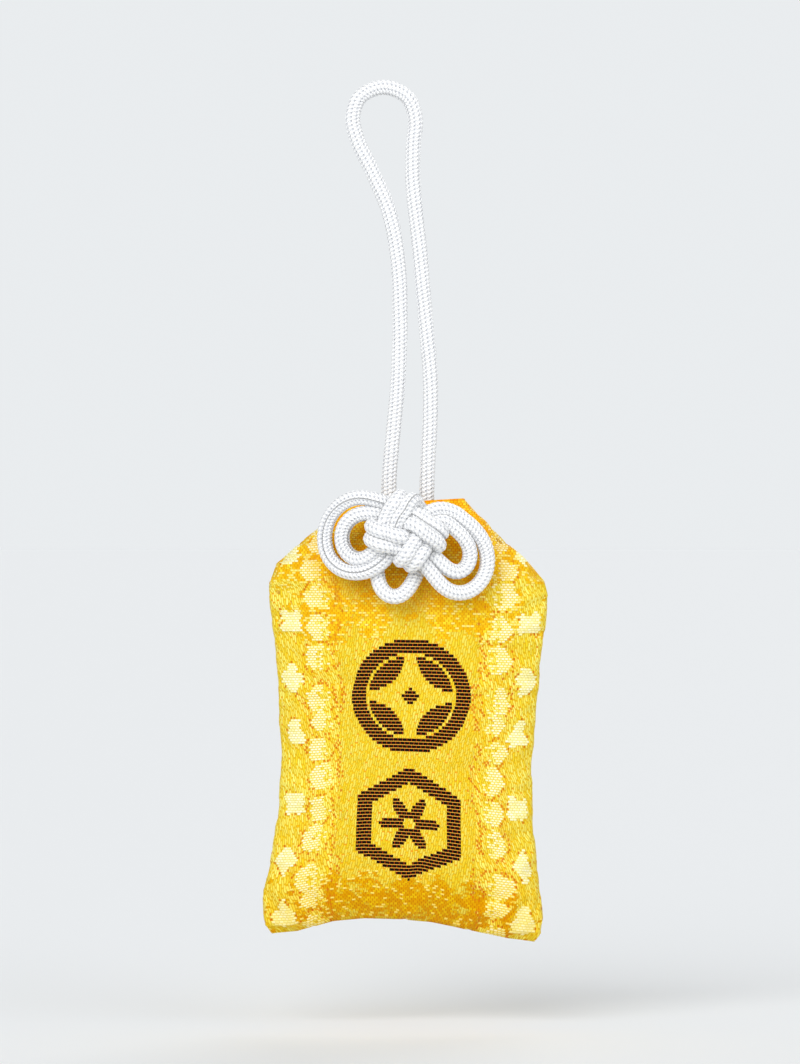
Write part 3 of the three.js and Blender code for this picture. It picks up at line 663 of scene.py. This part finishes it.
# Woven yellow satin. Every figure is drawn from whole cells of the weave, so its edge goes in steps.
def brocadeMaterial():
    n = Look("yellow_brocade")
    u0, v0, side = n.attribute("cloth")
    tilt = math.radians(cloth["tilt"])
    v1 = n.add(v0, cloth["zero"])
    u = n.minus(n.times(u0, math.cos(tilt)), n.times(v1, math.sin(tilt)))
    v = n.add(n.times(v1, math.cos(tilt)), n.times(u0, math.sin(tilt)))
    ground, floatHeight, perFloat = satinGround(n, u, v)

    # the figure's cells lie in rows like bricks
    cellRow, inRow = n.cell(v, weave["cellTall"])
    stagger = n.stagger(cellRow)
    cellColumn, inColumn = n.cell(u, weave["cellWide"], stagger)
    su = n.times(n.minus(n.add(cellColumn, 0.5), stagger), weave["cellWide"])
    sv = n.times(n.add(cellRow, 0.5), weave["cellTall"])
    perCell = n.random(n.vector(cellColumn, cellRow, 7))
    order = n.times(n.math("FLOORED_MODULO", n.add(cellColumn, cellRow), 2), 0.22)
    order = n.add(order, n.add(n.times(perCell, 0.56), 0.1))
    centred = n.add(su, cloth["shift"])
    warp = n.minus(n.noise(n.vector(su, sv, 5), 0.45, 2), 0.5)
    out = n.add(n.size(centred), n.times(warp, 1.5))

    def place(figure):
        turns = n.add(n.divide(n.minus(sv, figure["up"]), cloth["repeat"]), 0.5)
        dv = n.times(n.minus(n.math("FRACT", turns), 0.5), cloth["repeat"] / figure["tall"])
        dv = n.add(dv, n.times(warp, 0.7))
        du = n.divide(n.minus(out, figure["out"]), figure["wide"])
        return du, dv, n.far(du, dv)

    flowers = -9.0
    for figure in cloth["flowers"]:
        du, dv, far = place(figure)
        angle = n.add(n.math("ARCTAN2", dv, du), figure["turn"])
        edge = n.times(n.math("COSINE", n.times(angle, figure["count"])), figure["lobes"])
        flowers = n.larger(flowers, n.minus(n.add(edge, 1), far))
    clusters, density = -9.0, 0.0
    for figure in cloth["clusters"]:
        du, dv, far = place(figure)
        inside = n.minus(1.05, far)
        shade = n.times(n.ramp(inside, -0.02, 0.22), n.ramp(du, -1.2, 0.75, 0.12, 1.0))
        clusters = n.larger(clusters, inside)
        density = n.larger(density, shade)
    jitter = n.times(n.minus(n.random(n.vector(cellColumn, cellRow, 11)), 0.5), 0.26)
    solidCells = n.over(n.add(flowers, jitter), 0)
    shaded = n.over(density, order)

    # amber clouds above and below, and a stem of short strokes beside the panel
    def band(middle, half, reach):
        dv = n.divide(n.size(n.minus(sv, middle)), half)
        du = n.divide(n.size(centred), reach)
        scallop = n.times(n.math("COSINE", n.times(centred, 1.3)), 0.22)
        return n.add(n.minus(1, n.larger(dv, du)), scallop)

    cloud = n.minus(n.noise(n.vector(su, n.times(sv, 1.5), 9), 0.5, 3), 0.5)
    top = n.minus(band(**cloth["topCloud"]), n.ramp(n.size(centred), 3.2, 1.0))
    low = band(**cloth["lowCloud"])
    high = n.minus(n.ramp(sv, 18.2, 21.5), 0.42)
    bands = n.larger(n.larger(top, low), high)
    bands = n.add(bands, n.times(cloud, 1.9))
    amber = n.over(bands, n.times(n.math("POWER", perCell, 2), 0.75))
    sprinkled = n.add(perCell, n.times(cloud, 0.8))
    sprinkled = n.over(sprinkled, n.ramp(sv, -18, -12, 0.93, 0.8))
    sprinkled = n.times(n.over(bands, 0.02), sprinkled)
    wave = n.times(n.math("SINE", n.times(sv, 4 * math.pi / cloth["repeat"])), 0.6)
    stem = n.under(n.size(n.minus(n.add(out, wave), weave["stem"])), 0.34)
    stem = n.times(stem, n.over(n.add(perCell, warp), 0.45))
    rim = n.times(n.within(clusters, -0.16, 0.04), n.over(perCell, 0.55))
    rim = n.larger(rim, n.times(n.within(flowers, -0.2, 0), n.over(perCell, 0.75)))
    points = n.times(n.larger(stem, rim), n.hump(inColumn, 0.36, 0.16))
    pale = n.larger(solidCells, n.larger(shaded, sprinkled))

    # how the cells look: cream floats with yellow between them, ribbed amber, and brown points
    dot = n.times(n.hump(inColumn, 0.5, 0.3), n.hump(inRow, 0.5, 0.2))
    brick = n.times(n.hump(inColumn, 0.5, 0.36), n.hump(inRow, 0.5, 0.28))
    brick = n.mix(solidCells, dot, brick)
    cream = n.mix(perCell, (0.98, 0.88, 0.36, 1), (1.0, 0.96, 0.68, 1))
    cream = n.mix(n.larger(solidCells, shaded), n.mix(0.7, cream, (0.96, 0.7, 0.03, 1)), cream)
    mortar = n.mix(solidCells, (0.93, 0.66, 0.03, 1), (0.98, 0.84, 0.2, 1))
    paleColor = n.mix(brick, mortar, cream)
    rib = n.size(n.math("SINE", n.times(v, math.pi / weave["rib"])))
    rib = n.times(n.add(n.times(rib, 0.5), 0.5), n.hump(inColumn, 0.5, 0.3))
    amberColor = n.mix(n.ramp(perCell, 0.1, 0.95), (0.84, 0.48, 0.004, 1), (0.98, 0.82, 0.04, 1))
    # Painted shade: darker red-orange in the grooves between the amber's ribs and cells.
    amberColor = n.mix(rib, (0.72, 0.3, 0.003, 1), amberColor)
    # Lower down the amber turns deeper orange, which is its own colour, and darker, which is painted shade of the
    # bottom fold.
    amberColor = n.mix(n.ramp(sv, -20, -24), amberColor, n.tint(amberColor, (0.86, 0.76, 0.2, 1)))
    brown = n.mix(perCell, (0.74, 0.28, 0.006, 1), (0.62, 0.1, 0.004, 1))
    color = n.mix(amber, ground, amberColor)
    edge = n.times(n.ramp(clusters, -0.5, -0.04), n.ramp(clusters, 0.12, -0.04))
    edge = n.larger(edge, n.times(n.ramp(flowers, -0.35, -0.02), 0.4))
    edge = n.times(edge, n.add(n.times(perCell, 0.7), 0.3))
    color = n.mix(n.times(edge, 0.75), color, n.tint(color, (0.95, 0.7, 0.25, 1)))
    color = n.mix(n.times(points, 0.8), color, brown)
    color = n.mix(pale, color, paleColor)
    raised = n.add(n.times(brick, 0.8), 0.7)
    height = n.mix(amber, floatHeight, n.times(rib, 0.5))
    height = n.mix(pale, height, raised)

    # painted shade: deep orange where the knot's shade falls, and darker towards the bottom fold as the cloth
    # turns away from the light
    spot = cloth["underKnot"]
    # The knot's painted shade lies in an ellipse on the front and is tinted deep orange in place of its shadow.
    paintedKnotShade = n.divide(n.minus(v, spot["v"]), spot["tall"])
    paintedKnotShade = n.far(n.divide(n.minus(u, spot["u"]), spot["wide"]), paintedKnotShade)
    paintedKnotShade = n.times(n.ramp(paintedKnotShade, 1.1, 0.5), n.under(side, 0))
    deep = n.mix(perCell, (1.0, 0.42, 0.004, 1), (1.0, 0.72, 0.03, 1))
    block = n.times(n.hump(inColumn, 0.5, 0.3), n.hump(inRow, 0.5, 0.25))
    deep = n.mix(0.3, n.mix(block, (0.85, 0.2, 0.003, 1), deep), color)
    color = n.mix(paintedKnotShade, color, deep)
    # Painted shade: the cloth darkens towards the bottom fold, where it curves away from the light.
    color = n.mix(n.ramp(v, -17, -30, 0.0, 0.8), color, n.tint(color, (0.93, 0.82, 0.5, 1)))

    shape, bar, darkColor = darkMedallions(n, u, v)
    dark = n.times(shape, n.under(side, 0))
    color = n.mix(dark, color, darkColor)
    height = n.mix(dark, height, bar)
    roughness = n.add(n.times(perFloat, 0.12), 0.36)
    roughness = n.add(n.times(n.larger(pale, dark), 0.12), roughness)
    return n.finish(
        color, roughness, n.bump(height, 0.1 * mm, 0.9),
        Specular_IOR_Level=0.08, Specular_Tint=(1.0, 0.7, 0.3, 1),
    )


# The back of the brocade, seen inside the mouth: long loose threads and none of the figures
def liningMaterial():
    n = Look("brocade_back")
    u, v, _ = n.attribute("cloth")
    wander = n.times(n.noise(n.vector(u, v), 0.7, 2), 0.8)
    column, across = n.cell(n.add(u, wander), 0.34)
    row, along = n.cell(v, 2.6, n.random(n.vector(column, 1)))
    perThread = n.random(n.vector(column, row, 2))
    height = n.times(n.hump(across, 0.5, 0.15), n.hump(along, 0.5, 0.4))
    thread = n.mix(perThread, (0.72, 0.36, 0.012, 1), (0.9, 0.58, 0.05, 1))
    # Painted shade: dark brown between the loose threads and at their ends.
    color = n.mix(height, (0.42, 0.16, 0.005, 1), thread)
    return n.finish(color, 0.6, n.bump(height, 0.12 * mm, 0.9), Specular_IOR_Level=0.3)


yellowBrocade = brocadeMaterial()
brocadeBack = liningMaterial()


# Where the cloth folds and puckers, in mm outwards. A pleat has its start beside the middle, a lean and a size.
folds = {
    "seam": -0.12, "pucker": 0.06, "lapOut": 0.22, "lapIn": -0.2, "bottom": -0.22, "middle": 3.35,
    "pleats": ((-5.5, 0.32, 0.3), (-1.6, 0.1, 0.24), (2.2, -0.12, 0.26), (5.8, -0.34, 0.3)),
    "holes": (-2.675, 2.675), "holesUp": -59.4, "dimple": -0.3, "collar": 0.35,
}


def bell(away, width):
    return np.exp(-((away / width) ** 2))


def clothRelief(x, z, across, up, front):
    edge = 1 - np.abs(across)
    wave = np.sin(z * 0.77 + 1.3 + np.sign(across)) + 0.6 * np.sin(z * 1.37 + 2.1 * np.sign(across))
    pucker = folds["pucker"] * (wave + 0.5 * np.sin(z * 2.6 + 1.9 * np.sin(z * 0.31))) * bell(edge, 0.09)
    slope = np.clip((up - 0.79) / 0.04, 0, 1) * np.clip((1 - up) / 0.03, 0, 1)
    lap = folds["lapOut"] * slope * bell(edge - 0.045, 0.03) + folds["lapIn"] * slope * bell(edge - 0.12, 0.03)
    pleat = 0.0
    if front:
        beside = x - folds["middle"]
        for start, lean, size in folds["pleats"]:
            fall = np.clip((z + 76) / 17, 0, 1) ** 1.5
            pleat = pleat + size * fall * bell(beside - start - lean * (z + 58), 1.0)
        for hole in folds["holes"]:
            away = np.hypot(beside - hole, z - folds["holesUp"])
            pleat = pleat + folds["dimple"] * bell(away, 0.8) + folds["collar"] * bell(away - 1.3, 0.45)
    seam, bottom = folds["seam"] * bell(edge, 0.012), folds["bottom"] * bell(up, 0.008)
    broad = 0.2 * np.sin(x * 0.36 + 0.9) * np.sin(z * 0.21 + 0.4) + 0.12 * np.sin(x * 0.21 - z * 0.33 + 2.0)
    return seam + pucker + lap + pleat + bottom + broad * np.clip(edge * 3, 0, 1)


def clothRing(across, up, inset=0.0):
    sides = []
    for front in (True, False):
        a = across if front else across[::-1]
        p = pouchSurface(a, up, front, inset)
        outwards = clothRelief(p[:, 0], p[:, 2], a, up, front)
        ahead = pouchSurface(np.clip(a + 0.01, -1, 1), up, front, inset)
        run = ahead - pouchSurface(np.clip(a - 0.01, -1, 1), up, front, inset)
        normal = np.stack([-run[:, 1], run[:, 0], np.zeros(len(a))], axis=1) * (-1 if front else 1)
        normal /= np.maximum(np.linalg.norm(normal, axis=1), 1e-9)[:, None]
        sides.append(p + normal * outwards[:, None])
    return np.vstack([sides[0], sides[1][1:-1]])


# The filled cloth is cut a little larger than it needs and blown up, so that it creases by itself where it is
# held: at the mouth, the side seams and the bottom fold. Creases and broad swelling each have a cap in mm.
settling = {
    "scale": 12, "pressure": 4.0, "larger": 0.03, "frames": 20, "seamHold": 0.6, "stiff": 12, "bend": 4.0,
    "quality": 5, "mass": 0.3, "evened": 60, "creases": 0.5, "swell": 0.3,
}


def capped(moved, most):
    far = np.linalg.norm(moved, axis=1)
    return moved * (most * mm * np.tanh(far / (most * mm)) / np.maximum(far, 1e-9))[:, None]


def settleCloth(obj, held):
    mesh = obj.data.copy()
    mesh.transform(Matrix.Scale(settling["scale"], 4))
    trial = linked("cloth_trial", mesh)
    group = trial.vertex_groups.new(name="held")
    for weight in np.unique(held):
        if weight > 0:
            group.add(np.nonzero(held.ravel() == weight)[0].tolist(), float(weight), "REPLACE")
    modifier = trial.modifiers.new("cloth", "CLOTH")
    modifier.point_cache.frame_start, modifier.point_cache.frame_end = 1, settling["frames"]
    values = modifier.settings
    values.vertex_group_mass = "held"
    values.quality = settling["quality"]
    values.mass = settling["mass"]
    values.tension_stiffness = values.compression_stiffness = values.shear_stiffness = settling["stiff"]
    values.bending_stiffness = settling["bend"]
    values.shrink_min = -settling["larger"]
    values.use_pressure = True
    values.uniform_pressure_force = settling["pressure"]
    values.effector_weights.gravity = 0
    for step in range(1, settling["frames"] + 1):
        bpy.context.scene.frame_set(step)
    settled = trial.evaluated_get(bpy.context.evaluated_depsgraph_get()).to_mesh()
    count = len(obj.data.vertices)
    after, before = np.zeros(count * 3), np.zeros(count * 3)
    settled.vertices.foreach_get("co", after)
    obj.data.vertices.foreach_get("co", before)
    before = before.reshape(-1, 3)
    moved = after.reshape(-1, 3) / settling["scale"] - before
    broad = moved.reshape(*held.shape, 3)
    for _ in range(settling["evened"]):
        broad = (np.roll(broad, 1, axis=1) + 2 * broad + np.roll(broad, -1, axis=1)) / 4
        broad[1:-1] = (broad[:-2] + 2 * broad[1:-1] + broad[2:]) / 4
    broad = broad.reshape(-1, 3)
    moved = capped(moved - broad, settling["creases"]) + capped(broad, settling["swell"])
    moved *= (1 - held.ravel())[:, None]
    print("cloth moved mm", np.round(np.percentile(np.linalg.norm(moved, axis=1), (50, 90, 100)) / mm, 3))
    obj.data.vertices.foreach_set("co", (before + moved).ravel())
    obj.data.update()
    bpy.data.objects.remove(trial)
    bpy.context.scene.frame_set(1)


# The cloth is a strip of one width and one height, so its weave follows the edges where the pouch is drawn in
def weaveAlong(points, level):
    columns, rows = pouch["columns"], pouch["rows"]
    ahead = np.linalg.norm(np.diff(points[:, : columns + 1, :2], axis=1), axis=2)
    span = np.concatenate([np.zeros((len(level), 1)), np.cumsum(ahead, axis=1)], axis=1)
    middle = columns // 2
    front = span - span[:, middle : middle + 1]
    whole = np.minimum((level * rows).astype(int), int(pouch["slope"] * rows))
    front *= pouch["strip"] / np.where(front > 0, front[whole, -1][:, None], -front[whole, 0][:, None])
    u = np.concatenate([front, front[:, 1:-1][:, ::-1]], axis=1)
    v = np.broadcast_to((pouch["mouth"] - pouch["height"] * (1 - level))[:, None], u.shape)
    side = np.concatenate([-np.ones(front.shape), np.ones((len(level), columns - 1))], axis=1)
    side[rows + len(pouch["rim"]) // 2 + 1 :] = 1
    return np.stack([u, v, side], axis=2).reshape(-1, 3)


# The cloth goes up outside, over its rim and down inside as the lining
def makePouch():
    columns, rows = pouch["columns"], pouch["rows"]
    even = np.linspace(-1, 1, columns + 1)
    across = np.sin(even * np.pi / 2) * 0.75 + even * 0.25
    ups = np.linspace(0, 1, rows + 1)
    deeper = np.linspace(1, pouch["lining"], pouch["liningRows"])[1:]
    rings = [clothRing(across, up) for up in ups]
    rim = rings[-1]
    centre = rim.mean(axis=0)
    for turn in pouch["rim"]:
        inwards = rim - centre
        inwards[:, 2] = 0
        inwards /= np.linalg.norm(inwards, axis=1)[:, None]
        ring = rim - inwards * pouch["wall"] / 2 * (1 - math.cos(turn))
        ring[:, 2] += pouch["wall"] / 2 * math.sin(turn)
        rings.append(ring)
    rings += [clothRing(across, up, pouch["wall"]) for up in deeper]
    count = len(rim)
    faces = ringFaces(len(rings), count)
    last = (len(rings) - 1) * count
    for k in range(columns):
        near, nextNear = k, k + 1
        far, nextFar = (count - k) % count, (count - k - 1) % count
        for base, order in ((0, (near, far, nextFar, nextNear)), (last, (near, nextNear, nextFar, far))):
            corners = []
            for c in order:
                if base + c not in corners:
                    corners.append(base + c)
            faces.append(tuple(corners))
    verts = np.vstack(rings) * mm
    obj = newObject("pouch_cloth", verts, faces, yellowBrocade)
    level = np.concatenate([ups, np.ones(len(pouch["rim"])), deeper])
    setAttribute(obj, "cloth", weaveAlong(verts.reshape(len(rings), count, 3) / mm, level))
    obj.data.materials.append(brocadeBack)
    insideFrom = (rows + len(pouch["rim"]) // 2 + 2) * count
    for face in obj.data.polygons:
        face.material_index = int(min(face.vertices) >= insideFrom)
    held = np.zeros((len(rings), count))
    held[:, [0, columns]] = settling["seamHold"]
    held[0] = settling["seamHold"]
    held[rows - 1 :] = 1
    settleCloth(obj, held)
    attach(obj, "pouch")
    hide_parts("brocade_pouch")
    print("pouch", len(faces))


makePouch()


def waddingMaterial():
    n = Look("wadding")
    mottle, fibres = n.fibres(2.5, 1.6)
    color = n.mix(n.ramp(mottle, 0.3, 0.7), (0.86, 0.84, 0.79, 1), (0.96, 0.95, 0.92, 1))
    height = n.add(n.times(mottle, 0.6), n.times(fibres, 0.4))
    return n.finish(color, 0.95, n.bump(height, 0.6 * mm, 0.9), Sheen_Weight=0.3)


def threadMaterial():
    n = Look("gold_thread")
    _, along, ply = n.attribute("braid")
    # Painted shade: dark brown in the grooves between the plies.
    color = n.mix(n.ramp(ply, 0.0, 0.5), (0.45, 0.24, 0.02, 1), (0.82, 0.58, 0.12, 1))
    hairs = n.noise(n.vector(n.times(along, 4), ply), 3.0)
    return n.finish(color, n.ramp(hairs, 0.3, 0.7, 0.45, 0.65), n.bump(hairs, 0.03 * mm, 0.6))


def cardMaterial():
    n = Look("grey_card")
    mottle, fibres = n.fibres(1.6, 2.5)
    color = n.mix(n.ramp(mottle, 0.3, 0.7), (0.27, 0.24, 0.19, 1), (0.38, 0.35, 0.29, 1))
    color = n.mix(n.ramp(fibres, 0.6, 0.72), color, (0.55, 0.51, 0.44, 1))
    color = n.mix(n.ramp(fibres, 0.36, 0.28), color, (0.16, 0.13, 0.1, 1))
    return n.finish(color, 0.9, n.bump(fibres, 0.05 * mm, 0.7))


def paperMaterial():
    n = Look("white_paper")
    mottle, fibres = n.fibres(4.0, 6.0)
    color = n.mix(n.ramp(mottle, 0.3, 0.7), (0.84, 0.82, 0.75, 1), (0.9, 0.88, 0.82, 1))
    color = n.mix(n.ramp(fibres, 0.58, 0.7), color, (0.95, 0.94, 0.9, 1))
    return n.finish(color, 0.85, n.bump(fibres, 0.03 * mm, 0.6))


def woodMaterial():
    n = Look("planed_wood")
    mottle, fibres = n.fibres(3.0, 14.0)
    rings = n.add(n.divide(n.place()["X"], 1.3 * mm), n.times(mottle, 1.2))
    late = n.ramp(n.math("FRACT", rings), 0.55, 1.0)
    color = n.mix(late, (0.74, 0.54, 0.3, 1), (0.56, 0.35, 0.16, 1))
    color = n.mix(n.ramp(fibres, 0.45, 0.7, 0.0, 0.4), color, (0.62, 0.42, 0.21, 1))
    return n.finish(color, n.ramp(fibres, 0.3, 0.7, 0.5, 0.62), n.bump(fibres, 0.04 * mm, 0.5))


# Places in shares of the pouch, up and across, and sizes in mm
wadding = {
    "rows": 60, "columns": 60, "half": 0.8, "low": 0.14, "high": 0.78, "back": -1.5, "inset": 1.35,
    "lump": 0.16, "least": -0.05, "thin": -0.3,
}
seamThreads = {"across": 0.94, "low": 0.14, "high": 0.77, "inset": 1.7, "radius": 0.2}


# A lumpy pad in front of the wrapped slip, the card behind it, and the thread of each seam
def makeInside():
    rows, columns, back = wadding["rows"], wadding["columns"], wadding["back"]
    across = np.linspace(-wadding["half"], wadding["half"], columns + 1)
    rings = []
    for up in np.linspace(wadding["low"], wadding["high"], rows + 1):
        p = pouchSurface(across, up, True, wadding["inset"])
        rim = np.clip(8 * min(up - wadding["low"], wadding["high"] - up), 0, 1)
        rim = rim * np.clip((wadding["half"] - np.abs(across)) * 6, 0, 1)
        lumps = wadding["lump"] * np.sin(p[:, 0] * 1.1 + 2 * np.sin(p[:, 2] * 0.4)) * np.sin(p[:, 2] * 0.8 + 1.0)
        forward = p[:, 1] - (lumps - wadding["lump"]) - back - wadding["thin"]
        p[:, 1] = back + wadding["thin"] + np.minimum(forward, wadding["least"]) * rim**0.5
        behind = p[::-1].copy()
        behind[:, 1] = back
        rings.append(np.vstack([p, behind]))
    count = len(rings[0])
    faces = ringFaces(len(rings), count)
    for base, flip in ((0, True), (rows * count, False)):
        for k in range(columns):
            corners = (base + k, base + k + 1, base + count - 2 - k, base + count - 1 - k)
            faces.append(corners[::-1] if flip else corners)
    pad = newObject("cotton_wadding", np.vstack(rings) * mm, faces, waddingMaterial())
    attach(pad, "pouch")
    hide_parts("wadding_pad")
    gold = threadMaterial()
    ups = np.linspace(seamThreads["low"], seamThreads["high"], 12)
    for name, node, sign in (("left_thread", "left_seam_thread", -1), ("right_thread", "right_seam_thread", 1)):
        side = np.array([sign * seamThreads["across"]])
        route = [pouchSurface(side, up, True, seamThreads["inset"])[0] * (1, 0, 1) for up in ups]
        line = splinePoints(np.array(route) * mm)
        thread, _ = twistedThread(name, line, seamThreads["radius"] * mm, gold)
        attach(thread, "pouch")
        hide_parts(node)
    makers = {"stiffening_card": cardMaterial, "slip_wrapper": paperMaterial, "inner_slip": woodMaterial}
    for node, make in makers.items():
        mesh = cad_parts[node].data
        mesh.materials.clear()
        mesh.materials.append(make())
    print("inside")


makeInside()


# The sky's seen colour is the lit floor's, so the two meet without a line. The floor lies "drop" below the charm.
stage = {
    "floor": (0.84, 0.855, 0.865, 1), "reach": 40, "drop": 0.012,
    "light": (0.46, 0.47, 0.48, 1), "seen": (0.819, 0.843, 0.861, 1),
    "suns": (
        {"name": "key", "from": (-0.45, -1.0, 0.62), "energy": 1.95, "spread": 46},
        {"name": "fill", "from": (1.0, -0.8, 0.3), "energy": 1.15, "spread": 60},
        {"name": "back", "from": (0.3, 1.0, 0.6), "energy": 0.7, "spread": 40},
    ),
}


def makeStage():
    n = Look("pale_floor")
    n.finish(stage["floor"], 0.95, Specular_IOR_Level=0.1)
    reach, z = stage["reach"], cadBox[0][2] - stage["drop"]
    corners = [(-reach, -reach, z), (reach, -reach, z), (reach, reach, z), (-reach, reach, z)]
    floor = newObject("floor", corners, [(0, 1, 2, 3)], n.material, False)
    world = bpy.data.worlds.new("world")
    bpy.context.scene.world = world
    world.use_nodes = True
    sky = Nodes(world.node_tree)
    seen = sky.make("ShaderNodeLightPath").outputs["Is Camera Ray"]
    sky.feed(sky.tree.nodes["Background"].inputs[0], sky.mix(seen, stage["light"], stage["seen"]))
    for sun in stage["suns"]:
        data = bpy.data.lights.new(sun["name"], "SUN")
        data.energy = sun["energy"]
        data.angle = math.radians(sun["spread"])
        lamp = linked(sun["name"], data)
        lamp.rotation_euler = (-Vector(sun["from"])).to_track_quat("-Z", "Y").to_euler()
    bpy.context.scene.view_settings.view_transform = "Standard"


makeStage()
